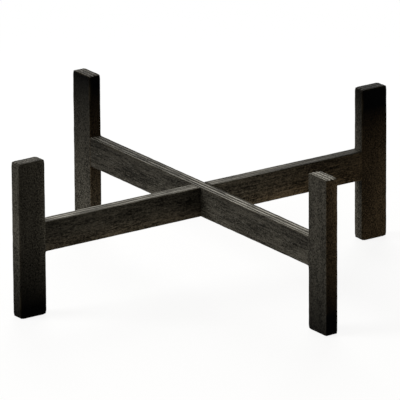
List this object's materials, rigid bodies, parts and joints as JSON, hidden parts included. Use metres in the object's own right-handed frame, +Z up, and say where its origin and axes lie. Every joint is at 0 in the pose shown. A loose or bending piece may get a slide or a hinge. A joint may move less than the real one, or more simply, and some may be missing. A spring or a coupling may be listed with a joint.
{
  "type": "plant stand",
  "caption": "Low stand for a round pot: crossing H-shaped frames of black-stained wood held by a dry half-lap, with flat posts that keep the pot between them.",
  "frame": {"origin": "on the floor, below the centre of the crossing", "axes": "+Z up, +X along the upper rail towards the right post, +Y along the lower rail towards the back post"},
  "size_m": [0.332, 0.332, 0.12],
  "materials": {
    "black_stained_wood": "matte black stain with open grain",
    "plain_beech": "unfinished"
  },
  "bodies": {
    "lower_frame": {"lower_rail": "black_stained_wood", "front_post": "black_stained_wood", "front_top_dowel": "plain_beech", "front_bottom_dowel": "plain_beech", "back_post": "black_stained_wood", "back_top_dowel": "plain_beech", "back_bottom_dowel": "plain_beech"},
    "upper_frame": {"upper_rail": "black_stained_wood", "left_post": "black_stained_wood", "left_top_dowel": "plain_beech", "left_bottom_dowel": "plain_beech", "right_post": "black_stained_wood", "right_top_dowel": "plain_beech", "right_bottom_dowel": "plain_beech"}
  },
  "joints": [
    {"name": "upper_frame_lift", "type": "slide", "parent": "lower_frame", "child": "upper_frame", "axis": [0, 0, 1], "range_m": [0, 0.13]}
  ]
}
